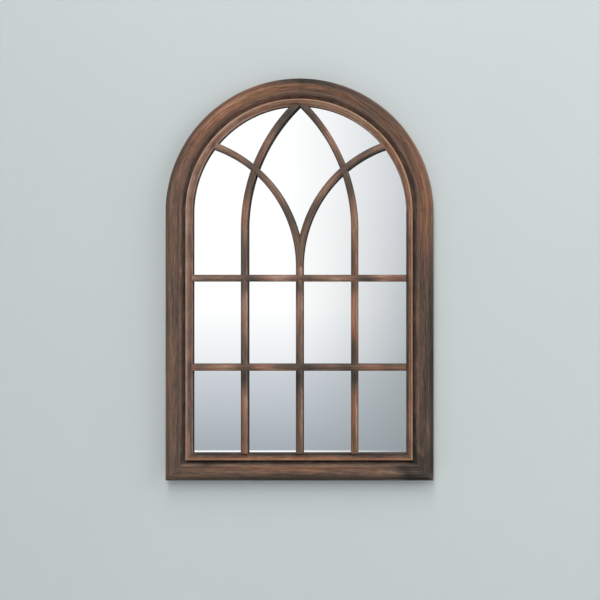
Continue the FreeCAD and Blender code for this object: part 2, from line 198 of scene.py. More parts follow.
def brushed_paint(name, colours, dark, span, catch, reach, clouds):
    """Bronze paint dry-brushed along the wood over a near-black undercoat.
    The eye sees fine streaks along each length, dark grooves, cloudy patches of copper, and pale
    edges where the brush caught. dark is the coat that shows where the brush skips, and catch says
    how readily each place takes paint, as (distance inwards, readiness) over the span of the
    section. reach gives the depth that the brush misses, the height where it covers fully, and
    how much paint is missing below; on the bars' sides and the bead's inner wall beside the glass
    that dark band is also painted shade. clouds says how much the paint varies in broad patches."""
    material, tree = new_material(name)
    marks = {}
    for label in ("along", "inward", "forward", "lot", "tone", "warmth"):
        marks[label] = add(tree, "ShaderNodeAttribute", attribute_name=label).outputs["Fac"]
    across = add(tree, "ShaderNodeMath", {0: marks["inward"], 1: marks["forward"]}, operation="ADD")
    place = add(tree, "ShaderNodeCombineXYZ", {"X": marks["along"], "Y": across, "Z": marks["lot"]})
    low, high = span
    section = add(tree, "ShaderNodeMapRange", {"Value": marks["inward"], "From Min": low, "From Max": high})
    ramp = add(tree, "ShaderNodeValToRGB", {"Fac": section})
    stops = [((distance - low) / (high - low), grey(readiness)) for distance, readiness in catch]
    missed, covered, loss = reach
    # Paint goes missing below the reach: the brush misses low sides, and on the bars' sides and the bead's
    # inner wall this near-black is also painted shade beside the glass.
    missed_paint_and_shade = add(tree, "ShaderNodeMapRange", {
        "Value": marks["forward"], "From Min": missed, "From Max": covered, "To Min": -loss, "To Max": 0.0})
    layers = [marks["tone"], missed_paint_and_shade]
    # Each pattern is drawn from its own part of the noise.
    apart = 5.0
    # Length, width and strength of the bristle marks, of the specks where the brush skips, and of
    # the clouds of thicker glaze. Bristle marks are about 0.5 mm apart, and are drawn twice as
    # wide so that they show.
    strokes = ((45 * mm, 1.1 * mm, 0.62), (14 * mm, 1.2 * mm, 0.4), (100 * mm, 6 * mm, clouds))
    for number, (run, pitch, strength) in enumerate(strokes):
        drawn = add(tree, "ShaderNodeMapping", {
            "Vector": place, "Location": (0.0, 0.0, apart * number), "Scale": (1 / run, 1 / pitch, 1.0)})
        noise = add(tree, "ShaderNodeTexNoise", {
            "Vector": drawn, "Scale": 1.0, "Detail": 2.0, "Roughness": 0.6})
        layers.append(add(tree, "ShaderNodeMapRange", {
            "Value": noise, "To Min": -strength / 2, "To Max": strength / 2}))
    level = set_stops(ramp, stops)
    for layer in layers:
        level = add(tree, "ShaderNodeMath", {0: level, 1: layer}, operation="ADD")
    coats = add(tree, "ShaderNodeValToRGB", {"Fac": level})
    paint = set_stops(coats, [
        (0.06, colours.undercoat), (0.3, dark), (0.5, colours.bronze), (0.7, colours.copper),
        (0.92, colours.rubbed)])
    # The glaze leans to olive and to plum in patches.
    drift = add(tree, "ShaderNodeMapping", {
        "Vector": place, "Location": (0.0, 0.0, 6 * apart), "Scale": (1 / (45 * mm), 1 / (4 * mm), 1.0)})
    cast = add(tree, "ShaderNodeValToRGB", {
        "Fac": add(tree, "ShaderNodeTexNoise", {"Vector": drift, "Scale": 1.0, "Detail": 1.0})})
    tint = set_stops(cast, [(0.36, linear("#f8fff5")), (0.64, linear("#fff7f7"))])
    glazed = add(tree, "ShaderNodeMix", {
        "Factor": 1.0, 6: paint, 7: tint}, data_type="RGBA", blend_type="MULTIPLY")
    # The orange glaze takes on the lighter paint more than on the dark coats.
    taken = add(tree, "ShaderNodeMapRange", {
        "Value": level, "From Min": 0.3, "From Max": 0.56, "To Min": 0.3, "To Max": 1.0})
    warmth = add(tree, "ShaderNodeMath", {0: marks["warmth"], 1: taken}, operation="MULTIPLY")
    warmed = add(tree, "ShaderNodeMix", {
        "Factor": warmth, 6: glazed.outputs[2], 7: colours.glaze}, data_type="RGBA", blend_type="MULTIPLY")
    gloss = add(tree, "ShaderNodeMapRange", {
        "Value": level, "From Min": 0.1, "From Max": 0.9, "To Min": 0.66, "To Max": 0.44})
    relief = add(tree, "ShaderNodeBump", {"Height": level, "Strength": 0.5, "Distance": 0.25 * mm})
    shader = add(tree, "ShaderNodeBsdfPrincipled", {
        "Base Color": warmed.outputs[2], "Roughness": gloss, "Normal": relief, "Specular IOR Level": 0.1})
    return finished(material, shader)


def mottled(tree, size, detail, stops):
    """Cloudy patches of about this size, and their colours, from (level, colour) stops."""
    place = add(tree, "ShaderNodeTexCoord").outputs["Object"]
    patches = add(tree, "ShaderNodeTexNoise", {"Vector": place, "Scale": 1 / size, "Detail": detail})
    return patches, set_stops(add(tree, "ShaderNodeValToRGB", {"Fac": patches}), stops)


def silvered_glass():
    """Float glass silvered behind: a clear neutral reflection, with the faintest wiped haze."""
    material, tree = new_material("silvered_float_glass")
    place = add(tree, "ShaderNodeTexCoord").outputs["Object"]
    wipes = add(tree, "ShaderNodeTexNoise", {"Vector": place, "Scale": 1 / (60 * mm), "Detail": 3.0})
    haze = add(tree, "ShaderNodeMapRange", {"Value": wipes, "To Min": 0.0, "To Max": 0.03})
    shader = add(tree, "ShaderNodeBsdfPrincipled", {
        "Base Color": linear("#f9fafa"), "Metallic": 1.0, "Roughness": haze})
    return finished(material, shader)


def pressed_hardboard(colours):
    """Hardboard pressed smooth: brown fibre with darker flecks, dull, with a slight leathery relief."""
    material, tree = new_material("pressed_hardboard")
    place = add(tree, "ShaderNodeTexCoord").outputs["Object"]
    fibres = add(tree, "ShaderNodeTexNoise", {
        "Vector": place, "Scale": 1 / (4 * mm), "Detail": 6.0, "Roughness": 0.7})
    stains = add(tree, "ShaderNodeTexNoise", {"Vector": place, "Scale": 1 / (70 * mm), "Detail": 2.0})
    mixed = add(tree, "ShaderNodeMath", {0: stains, 1: 0.35, 2: fibres}, operation="MULTIPLY_ADD")
    tone = set_stops(add(tree, "ShaderNodeValToRGB", {"Fac": mixed}), [
        (0.45, linear("#5b412b")), (0.68, colours.board), (0.92, linear("#92714f"))])
    relief = add(tree, "ShaderNodeBump", {"Height": fibres, "Strength": 0.35, "Distance": 0.3 * mm})
    shader = add(tree, "ShaderNodeBsdfPrincipled", {
        "Base Color": tone, "Roughness": 0.72, "Normal": relief})
    return finished(material, shader)


def plated_steel(colours):
    """Stamped steel, bright zinc plated: pale grey metal with a soft sheen and cloudy passivation."""
    material, tree = new_material("zinc_plated_steel")
    clouds, tone = mottled(tree, 5 * mm, 4.0, [
        (0.3, linear("#a7abab")), (0.55, colours.zinc), (0.75, linear("#cfc9b4"))])
    dulling = add(tree, "ShaderNodeMapRange", {"Value": clouds, "To Min": 0.22, "To Max": 0.5})
    shader = add(tree, "ShaderNodeBsdfPrincipled", {
        "Base Color": tone, "Metallic": 1.0, "Roughness": dulling})
    return finished(material, shader)


def moulded_rubber(colours):
    """Moulded rubber: dark, matt, with a fine bloom on its surface."""
    material, tree = new_material("moulded_rubber")
    bloom, tone = mottled(tree, 1.5 * mm, 4.0, [(0.35, colours.rubber), (0.75, linear("#4b4744"))])
    relief = add(tree, "ShaderNodeBump", {"Height": bloom, "Strength": 0.3, "Distance": 0.1 * mm})
    shader = add(tree, "ShaderNodeBsdfPrincipled", {"Base Color": tone, "Roughness": 0.8, "Normal": relief})
    return finished(material, shader)


def turned_beech(colours):
    """Beech dowel: pale wood with short darker flecks along the grain."""
    material, tree = new_material("turned_beech")
    tone = mottled(tree, 2 * mm, 3.0, [(0.4, linear("#a97f52")), (0.6, colours.beech)])[1]
    shader = add(tree, "ShaderNodeBsdfPrincipled", {"Base Color": tone, "Roughness": 0.6})
    return finished(material, shader)


# Sections and paths

def bow(start, end, bulge, steps):
    """Points after start, up to end, on an arc that swells to the left of that line by bulge."""
    start = Vector(start)
    end = Vector(end)
    chord = end - start
    side = Vector((-chord.y, chord.x)).normalized()
    radius = (chord.length_squared / 4 + bulge ** 2) / (2 * bulge)
    centre = (start + end) / 2 + side * (bulge - radius)
    arm = start - centre
    turn = 2 * math.asin(chord.length / (2 * radius))
    points = []
    for step in range(1, steps + 1):
        angle = -turn * step / steps
        run = Vector((
            arm.x * math.cos(angle) - arm.y * math.sin(angle),
            arm.x * math.sin(angle) + arm.y * math.cos(angle)))
        points.append(tuple(centre + run))
    return points


def frame_section(sizes):
    """Outline of the frame moulding, as (forward, inward) from the outer back corner."""
    ledge = rebate_depth + sizes.lip_thickness
    rebate_wall = lip_edge - sizes.rebate_width
    foot = crest_height - sizes.ridge_drop
    ridge_end = sizes.moulding_width - sizes.cove_width
    points = [(0.0, 0.0), (sizes.outer_side, 0.0)]
    points += bow(points[-1], (crest_height, sizes.shoulder_width), -sizes.shoulder_swell, steps=10)
    points.append((crest_height, sizes.shoulder_width + sizes.crest_flat))
    points += bow(points[-1], (foot, ridge_end - sizes.ridge_width), sizes.crest_hollow, steps=6)
    points += bow(points[-1], (foot, ridge_end), -sizes.ridge_rise, steps=10)
    points += bow(points[-1], (ledge, sizes.moulding_width), sizes.cove_hollow, steps=6)
    points += [
        (ledge, lip_edge), (rebate_depth, lip_edge), (rebate_depth, rebate_wall), (0.0, rebate_wall)]
    return points


def bead_section(sizes):
    """Outline of the glazing bead, as (forward, inward) from the frame's outer back corner."""
    ledge = rebate_depth + sizes.lip_thickness
    lip = ledge + sizes.bead_lip_rise
    arris = sizes.bead_arris
    swell = arris * (1 - math.sqrt(0.5))
    points = [(ledge, bead_outer), (bead_top - arris, bead_outer)]
    points += bow(points[-1], (bead_top, bead_outer + arris), -swell, steps=4)
    points.append((bead_top, bead_outer + sizes.bead_fillet))
    points += bow(points[-1], (lip, bead_inner - sizes.bead_lip), sizes.bead_hollow, steps=9)
    points.append((lip, bead_inner - arris))
    points += bow(points[-1], (lip - arris, bead_inner), -swell, steps=4)
    points += [(rebate_depth, bead_inner), (rebate_depth, lip_edge), (ledge, lip_edge)]
    return points


def straight_run(start, end, pitch):
    """Points from start to end, at most pitch apart."""
    start = Vector(start)
    end = Vector(end)
    rings = math.ceil((end - start).length / pitch)
    return [start.lerp(end, ring / rings) for ring in range(rings + 1)]


def arch_run(start, end, rings):
    """Points on the outer edge of the arch. Angles run clockwise from the left spring line."""
    points = []
    for ring in range(rings + 1):
        angle = math.radians(start + (end - start) * ring / rings)
        points.append(Vector((
            -half_width * math.cos(angle), frame_back, spring + half_width * math.sin(angle))))
    return points


def curve_object(name, points, closed):
    """A poly curve through the points."""
    data = bpy.data.curves.new(name, "CURVE")
    data.dimensions = "3D"
    spline = data.splines.new("POLY")
    spline.points.add(len(points) - 1)
    for point, place in zip(spline.points, points):
        point.co = (*place, 1.0)
    spline.use_cyclic_u = closed
    curve = bpy.data.objects.new(name, data)
    bpy.context.scene.collection.objects.link(curve)
    return curve


# Geometry Nodes

def new_tree(name, inputs):
    """A node group with these inputs, as {name: kind of socket}, and its input sockets."""
    tree = bpy.data.node_groups.new(name, "GeometryNodeTree")
    for label, kind in inputs.items():
        tree.interface.new_socket(name=label, in_out="INPUT", socket_type=f"NodeSocket{kind}")
    tree.interface.new_socket(name="Result", in_out="OUTPUT", socket_type="NodeSocketGeometry")
    return tree, add(tree, "NodeGroupInput").outputs


def close_tree(tree, geometry, finish):
    """Ends a tree in real geometry with its material."""
    real = add(tree, "GeometryNodeRealizeInstances", {"Geometry": geometry})
    coated = add(tree, "GeometryNodeSetMaterial", {"Geometry": real, "Material": finish})
    add(tree, "NodeGroupOutput", {"Result": coated})


def moulding_tree():
    """Sweeps a section along a path, mitres its ends, and marks where the paint lies."""
    tree, given = new_tree("Moulding along its path", {
        "Path": "Geometry", "Section": "Object", "Start mitre": "Float", "End mitre": "Float",
        "Paint start": "Float", "Paint lot": "Float", "Finish": "Material"})
    spline = add(tree, "GeometryNodeSplineParameter").outputs
    place = add(tree, "ShaderNodeSeparateXYZ", {0: add(tree, "GeometryNodeInputPosition")}).outputs
    along = add(tree, "ShaderNodeMath", {0: spline["Length"], 1: given["Paint start"]}, operation="ADD")
    path = add(tree, "GeometryNodeSetCurveNormal", {
        "Curve": given["Path"], "Normal": (0.0, -1.0, 0.0)}, mode="FREE")
    for label, value in (("along", along), ("share", spline["Factor"]), ("lot", given["Paint lot"])):
        path = add(tree, "GeometryNodeStoreNamedAttribute", {
            "Geometry": path, "Name": label, "Value": value})
    section = add(tree, "GeometryNodeObjectInfo", {"Object": given["Section"]}).outputs["Geometry"]
    for label, axis in (("forward", "X"), ("inward", "Y")):
        section = add(tree, "GeometryNodeStoreNamedAttribute", {
            "Geometry": section, "Name": label, "Value": place[axis]})
    way = add(tree, "GeometryNodeCaptureAttribute", {"Geometry": path})
    way.capture_items.new("VECTOR", "Way")
    tree.links.new(add(tree, "GeometryNodeInputTangent").outputs[0], way.inputs["Way"])
    sweep = add(tree, "GeometryNodeCurveToMesh", {
        "Curve": way, "Profile Curve": section, "Fill Caps": True})
    share = add(tree, "GeometryNodeInputNamedAttribute", {"Name": "share"})
    inward = add(tree, "GeometryNodeInputNamedAttribute", {"Name": "inward"})
    both = add(tree, "ShaderNodeMath", {0: given["Start mitre"], 1: given["End mitre"]}, operation="ADD")
    turned = add(tree, "ShaderNodeMath", {0: both, 1: share}, operation="MULTIPLY")
    slant = add(tree, "ShaderNodeMath", {0: given["Start mitre"], 1: turned}, operation="SUBTRACT")
    slide = add(tree, "ShaderNodeMath", {0: slant, 1: inward}, operation="MULTIPLY")
    offset = add(tree, "ShaderNodeVectorMath", {0: way.outputs["Way"], "Scale": slide}, operation="SCALE")
    mitred = add(tree, "GeometryNodeSetPosition", {"Geometry": sweep, "Offset": offset})
    close_tree(tree, mitred, given["Finish"])
    return tree


def screws_tree():
    """Cuts a cross recess in a screw, and sets a copy on each point, turned as the point says."""
    tree, given = new_tree("Screws on points", {
        "Points": "Geometry", "Screw": "Object", "Recess length": "Float", "Recess width": "Float",
        "Head rise": "Float", "Finish": "Material"})
    screw = add(tree, "GeometryNodeObjectInfo", {"Object": given["Screw"]}).outputs["Geometry"]
    top = add(tree, "ShaderNodeCombineXYZ", {"Y": given["Head rise"]})
    # One slot is a little deeper than the other, so that their floors do not fall together.
    slots = (("Recess length", "Recess width", 1.25), ("Recess width", "Recess length", 1.2))
    for width, height, share in slots:
        depth = add(tree, "ShaderNodeMath", {0: given["Head rise"], 1: share}, operation="MULTIPLY")
        size = add(tree, "ShaderNodeCombineXYZ", {"X": given[width], "Y": depth, "Z": given[height]})
        slot = add(tree, "GeometryNodeTransform", {
            "Geometry": add(tree, "GeometryNodeMeshCube", {"Size": size}), "Translation": top})
        screw = add(tree, "GeometryNodeMeshBoolean", {
            0: screw, 1: slot}, operation="DIFFERENCE", solver="EXACT")
    turn = add(tree, "GeometryNodeInputNamedAttribute", {"Name": "turn"}, data_type="FLOAT_VECTOR")
    copies = add(tree, "GeometryNodeInstanceOnPoints", {
        "Points": given["Points"], "Instance": screw, "Rotation": turn})
    close_tree(tree, copies, given["Finish"])
    return tree


def grown_mesh(base, tree, values):
    """The plain mesh that a node tree makes of base, with these values on its inputs."""
    modifier = base.modifiers.new(tree.name, "NODES")
    modifier.node_group = tree
    for socket in tree.interface.items_tree:
        if socket.name in values:
            modifier[socket.identifier] = values[socket.name]
    graph = bpy.context.evaluated_depsgraph_get()
    mesh = bpy.data.meshes.new_from_object(
        base.evaluated_get(graph), preserve_all_data_layers=True, depsgraph=graph)
    base.modifiers.remove(modifier)
    return mesh


def dressed(mesh, node, ending):
    """Puts a finished mesh in the scene, in place of its CAD node."""
    piece = bpy.data.objects.new(f"{node}_{ending}", mesh)
    bpy.context.scene.collection.objects.link(piece)
    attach(piece, "mirror")
    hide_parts(node)


def soften(mesh, degrees):
    """Smooth shading, with edges sharper than this kept crisp."""
    mesh.shade_smooth()
    mesh.set_sharp_from_angle(angle=math.radians(degrees))


def member_paths():
    """Paths of the five lengths of moulding, clockwise from the left foot, each with the mitres of
    its ends and its lot of paint. The brush runs on round the arch, and starts afresh on the rail."""
    pitch = 6 * mm
    arch_rings = 60
    left_foot = (-half_width, frame_back, bottom)
    right_foot = (half_width, frame_back, bottom)
    left_spring = (-half_width, frame_back, spring)
    right_spring = (half_width, frame_back, spring)
    return (
        (straight_run(left_foot, left_spring, pitch), 1.0, 0.0, 0.0),
        (arch_run(0, 90, arch_rings), 0.0, 0.0, 0.0),
        (arch_run(90, 180, arch_rings), 0.0, 0.0, 0.0),
        (straight_run(right_spring, right_foot, pitch), 0.0, 1.0, 0.0),
        (straight_run(right_foot, left_foot, pitch), 1.0, 1.0, 3.7))


def store(mesh, label, values):
    """Keeps a number for each vertex."""
    layer = mesh.attributes.new(label, "FLOAT", "POINT")
    layer.data.foreach_set("value", numpy.asarray(values, dtype=numpy.float32))


def stored(mesh, label):
    values = numpy.empty(len(mesh.vertices), dtype=numpy.float32)
    mesh.attributes[label].data.foreach_get("value", values)
    return values


def toned(along, inward, touches):
    """Paint tone of each vertex, from soft-edged touches. Some are thicker or thinner glaze, and some are
    painted light and shade: lighter coves and grooves in the frame, lighter inner walls on the arch beads,
    and lighter right and darker left halves on the mullions.
    A touch is its middle and reach along the wood and its band inwards, in mm, and its strength."""
    edge = 2
    tone = numpy.zeros(len(along))
    for middle, reach, low, high, strength in touches:
        fade = numpy.exp(-((along / mm - middle) / reach) ** 2)
        rise = numpy.clip((inward / mm - low) / edge, 0, 1)
        fall = numpy.clip((high - inward / mm) / edge, 0, 1)
        tone += strength * fade * rise * fall
    return tone


def spread(along, values):
    """Values blended evenly from one end of a length to the other."""
    return numpy.interp(along, numpy.linspace(along.min(), along.max(), len(values)), values)


def build_lengths(section, paints, glazed, material):
    """Sweeps a section along the five paths. For the node on each path in turn, paints gives its
    tone, its warmth from the start of the path to its end, and its touches. glazed gives the share
    of that warmth over the section, as (distance inwards, share)."""
    tree = moulding_tree()
    outline = curve_object("section", [(*point, 0.0) for point in section], True)
    faded_depth = 6 * mm
    start = 0.0
    for (node, paint), (points, start_mitre, end_mitre, lot) in zip(paints.items(), member_paths()):
        path = curve_object(f"{node}_path", points, False)
        mesh = grown_mesh(path, tree, {
            "Section": outline, "Start mitre": start_mitre, "End mitre": end_mitre, "Paint start": start,
            "Paint lot": lot, "Finish": material})
        mesh.attributes.remove(mesh.attributes["share"])
        tone, warmth, touches = paint
        along = stored(mesh, "along") - start
        inward = stored(mesh, "inward")
        # The touches are on the faces that show, and the back is even.
        shown = numpy.clip(stored(mesh, "forward") / faded_depth, 0, 1)
        store(mesh, "tone", tone + toned(along, inward, touches) * shown)
        store(mesh, "warmth", spread(along, warmth) * numpy.interp(inward, *zip(*glazed)))
        soften(mesh, degrees=30)
        dressed(mesh, node, "painted")
        bpy.data.objects.remove(path)
        start += along.max()
    bpy.data.objects.remove(outline)


class MIRROR_OT_frame(bpy.types.Operator):
    """Sweep the moulding of stiles, arch and rail, and paint it"""

    bl_idname = "mirror.frame"
    bl_label = "Frame mouldings"

    def execute(self, context):
        sizes = context.scene.mirror_sizes
        colours = context.scene.mirror_colours
        inner = sizes.moulding_width
        material = brushed_paint(
            "dry_brushed_bronze_frame_paint", colours, dark=colours.umber, span=(0.0, inner), catch=(
                (0.0, 0.42), (6 * mm, 0.46), (9 * mm, 0.53), (12 * mm, 0.53), (17.5 * mm, 0.45),
                (19.5 * mm, 0.47), (22 * mm, 0.49), (24 * mm, 0.45), (26 * mm, 0.44), (28.5 * mm, 0.4),
                (inner, 0.33)),
            reach=(0.0, 9 * mm, 0.2), clouds=0.34)
        # The lightening touches on the cove and groove, 22.5 to 33 mm inwards, on the arch and the right
        # stile are painted light: they lighten hollows that the lamps leave in shade.
        paints = {
            "left_stile": (0.0, (0.5, 0.45, 0.6), ((200, 400, -2, 5, 0.12), (0, 40, -2, 30, -0.04))),
            "left_arch_rail": (0.01, (0.5, 0.6, 1.0, 1.0, 1.0), (
                (85, 60, -2, 13, -0.06), (85, 60, 14, 22, 0.1), (215, 75, -2, 6, 0.11), (210, 75, 6, 21, 0.2),
                (215, 60, 9, 14, 0.06), (305, 45, 9, 17, 0.11), (314, 45, -2, 11, -0.24),
                (190, 145, 24.5, 33, 0.2), (314, 80, 24, 33, 0.17))),
            "right_arch_rail": (-0.02, (1.0, 0.8, 1.0), (
                (0, 45, -2, 11, -0.24), (9, 45, 9, 17, 0.11), (105, 75, 3, 12, -0.12),
                (105, 75, 11, 19, 0.07), (200, 90, -2, 4, 0.13), (250, 70, -2, 15, 0.09),
                (245, 60, 11, 18, 0.13), (310, 50, 4, 22, 0.06), (0, 80, 24, 33, 0.14),
                (110, 90, 22.5, 33, 0.15), (180, 250, 25, 33, 0.14))),
            "right_stile": (-0.04, (1.0, 0.4, 0.4), (
                (0, 60, -2, 22, 0.14), (230, 160, -2, 14, -0.14), (230, 160, -2, 6, -0.08),
                (390, 40, -2, 30, -0.14), (200, 400, 20, 24, 0.03), (200, 400, 23, 29, 0.16),
                (374, 5, 14, 26, 0.22), (328, 10, 6, 12, 0.16), (400, 12, -2, 7, 0.2))),
            "bottom_rail": (0.0, (0.4, 1.0, 0.6), (
                (210, 170, -2, 13, -0.18), (200, 400, -2, 6, -0.06), (200, 170, 13.5, 26, 0.12),
                (200, 170, 18, 24, 0.08), (200, 400, 26, 33, -0.08), (26, 15, -2, 26, -0.32),
                (4, 10, -2, 30, -0.2), (352, 25, 20, 30, -0.12)))}
        glazed = ((0.0, 1.0), (21 * mm, 1.0), (25 * mm, 0.3))
        build_lengths(frame_section(sizes), paints, glazed, material)
        return {"FINISHED"}


class MIRROR_OT_bead(bpy.types.Operator):
    """Sweep the glazing bead inside the frame, and paint it"""

    bl_idname = "mirror.bead"
    bl_label = "Glazing bead"

    def execute(self, context):
        sizes = context.scene.mirror_sizes
        colours = context.scene.mirror_colours
        fillet = bead_outer + sizes.bead_fillet
        lip = bead_inner - sizes.bead_lip
        lip_height = rebate_depth + sizes.lip_thickness + sizes.bead_lip_rise
        material = brushed_paint(
            "dry_brushed_bronze_bead_paint", colours, dark=colours.umber, span=(bead_outer, bead_inner),
            catch=(
                (bead_outer, 0.28), (bead_outer + 0.7 * mm, 0.78), (fillet, 0.72), (fillet + 1.5 * mm, 0.58),
                (lip - 1.5 * mm, 0.45), (lip, 0.44), (bead_inner - 1 * mm, 0.56), (bead_inner, 0.48)),
            # The bead's inner wall below the lip takes little paint, and its near-black there is also painted
            # shade beside the glass.
            reach=(lip_height - 1.2 * mm, lip_height - 0.5 * mm, 0.7), clouds=0.3)
        # The touches at 40 to 46 mm inwards on the arch beads are painted light: they lighten the inner wall,
        # which faces down into shade.
        paints = {
            "left_bead": (0.02, (0.25,), ((200, 400, 29, 34, 0.06), (200, 400, 37, 45, 0.05))),
            "left_arch_bead": (0.02, (0.25, 0.4, 0.8), (
                (0, 70, 29, 34, 0.05), (314, 45, 29, 33.5, -0.2), (314, 60, 33, 38, 0.18),
                (200, 110, 31.5, 39, 0.18), (170, 140, 37, 45, 0.2), (240, 120, 40, 46, 0.5))),
            "right_arch_bead": (0.03, (0.8,), (
                (0, 45, 29, 33.5, -0.2), (0, 60, 33, 39, 0.15), (230, 65, 29, 33, 0.22),
                (110, 110, 33, 39, 0.26), (150, 130, 37, 45, 0.16), (300, 90, 33.5, 38, 0.1),
                (100, 160, 40, 46, 0.5))),
            "right_bead": (0.03, (0.75,), (
                (200, 400, 37, 45, -0.19), (200, 400, 33.5, 38, 0.14), (200, 400, 32, 35.5, -0.12),
                (200, 400, 29, 33.5, 0.1))),
            "bottom_bead": (-0.06, (1.0,), ((200, 400, 29, 33.5, 0.06), (200, 400, 37, 45, -0.16)))}
        glazed = ((bead_outer, 1.0), (lip - 1 * mm, 1.0), (bead_inner, 0.3))
        build_lengths(bead_section(sizes), paints, glazed, material)
        return {"FINISHED"}


# Tracery bars

# The bars are cut into rings this far apart, in degrees on the ribs, which turn less than rib_turn.
ring_pitch = 4 * mm
ring_angle = 2
rib_turn = 80
# Brush marks of one lot of paint differ from those of a lot this far from it.
lot_gap = 2.3


def circles_cross(first, first_radius, second, second_radius):
    """The upper crossing of two circles, as (x, z)."""
    apart = second - first
    reach = apart.length
    along = (first_radius ** 2 - second_radius ** 2 + reach ** 2) / (2 * reach)
    aside = math.sqrt(first_radius ** 2 - along ** 2)
    way = apart / reach
    crossings = []
    for side in (aside, -aside):
        crossings.append(first + way * along + Vector((-way.y, way.x)) * side)
    return max(crossings, key=lambda crossing: crossing.y)


def ringed_copy(node, cuts):
    """A merged copy of a CAD node, cut into rings so that its paint marks can vary along it."""
    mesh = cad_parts[node].data.copy()
    mesh.materials.clear()
    shape = bmesh.new()
    shape.from_mesh(mesh)
    bmesh.ops.remove_doubles(shape, verts=shape.verts, dist=0.001 * mm)
    bmesh.ops.dissolve_limit(
        shape, angle_limit=math.radians(0.2), use_dissolve_boundaries=False, verts=shape.verts,
        edges=shape.edges)
    for place, way in cuts:
        parts = shape.verts[:] + shape.edges[:] + shape.faces[:]
        bmesh.ops.bisect_plane(shape, geom=parts, dist=0.01 * mm, plane_co=place, plane_no=way)
    shape.to_mesh(mesh)
    shape.free()
    stale = mesh.attributes.get("custom_normal")
    if stale:
        mesh.attributes.remove(stale)
    soften(mesh, degrees=35)
    return mesh


def corners(mesh):
    """Vertex places, in rows of x, y and z."""
    places = numpy.empty(len(mesh.vertices) * 3, dtype=numpy.float32)
    mesh.vertices.foreach_get("co", places)
    return places.reshape(-1, 3).T


def mark_bar(mesh, along, across, lot, warmth, touches):
    """Stores where the paint lies on a bar. Its warmth runs from its start to its end."""
    store(mesh, "along", along)
    store(mesh, "inward", across)
    store(mesh, "forward", glass_front - corners(mesh)[1])
    store(mesh, "lot", numpy.full(len(along), lot))
    store(mesh, "tone", toned(along, across, touches))
    store(mesh, "warmth", spread(along, warmth))


def whole(touches):
    """Touches of (middle, reach, strength) that cover the width of a bar."""
    return [(middle, reach, -20, 20, strength) for middle, reach, strength in touches]


def middle_of(node):
    low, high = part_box(node)
    return (low + high) / 2


def upright_bar(node, lot, warmth, touches):
    """A mullion, sooty below each transom, with painted light along its right half and painted shade along
    its left half.
    Its other touches are measured up from the lower transom."""
    low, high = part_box(node)
    cuts = [(place, (0, 0, 1)) for place in straight_run((0, 0, low.z), (0, 0, high.z), ring_pitch)[1:-1]]
    mesh = ringed_copy(node, cuts)
    x, z = corners(mesh)[[0, 2]]
    along = z - middle_of("lower_transom").z
    gap = (middle_of("upper_transom").z - middle_of("lower_transom").z) / mm
    soot = [(-14, 16, -0.27), (14, 12, -0.08), (gap - 14, 8, -0.14)]
    # Painted light and shade: the right half of each mullion is lighter and the left half darker, as light
    # from the right falls.
    sides = [(gap / 2, 400, -9, -1.5, -0.07), (gap / 2, 400, 2, 9, 0.14)]
    mark_bar(mesh, along, x - middle_of(node).x, lot, warmth, whole(soot + touches) + sides)
    return mesh


def level_bar(node, lot, warmth, touches):
    """A transom, rubbed where its left end meets the bead."""
    low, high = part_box(node)
    cuts = [(place, (1, 0, 0)) for place in straight_run((low.x, 0, 0), (high.x, 0, 0), ring_pitch)[1:-1]]
    mesh = ringed_copy(node, cuts)
    x, z = corners(mesh)[[0, 2]]
    # across runs downwards, so the readier side of the catch, a slight painted light, lies on the lower half
    # that the light from above shades.
    mark_bar(mesh, x, middle_of(node).z - z, lot, warmth, whole([(low.x / mm, 5, 0.12)] + touches))
    return mesh


def curved_bar(node, centre, radius, meeting, lot, warmth, touches):
    """A rib on a circle about centre, an (x, z) point. meeting is where another rib crosses it,
    and its touches are measured along it from there."""
    side = -1.0 if centre.x > 0 else 1.0

    def angle_of(x, z):
        return numpy.arctan2(z - centre.y, side * (x - centre.x))

    cuts = []
    for ring in range(1, rib_turn // ring_angle):
        angle = math.radians(ring_angle * ring)
        way = (-side * math.sin(angle), 0, math.cos(angle))
        cuts.append(((centre.x, 0, centre.y), way))
    mesh = ringed_copy(node, cuts)
    x, z = corners(mesh)[[0, 2]]
    along = radius * angle_of(x, z)
    crossing = radius * angle_of(*meeting) / mm
    placed = [(crossing + middle, reach, strength) for middle, reach, strength in touches]
    across = side * (numpy.hypot(x - centre.x, z - centre.y) - radius)
    mark_bar(mesh, along, across, lot, warmth, whole(placed))
    return mesh


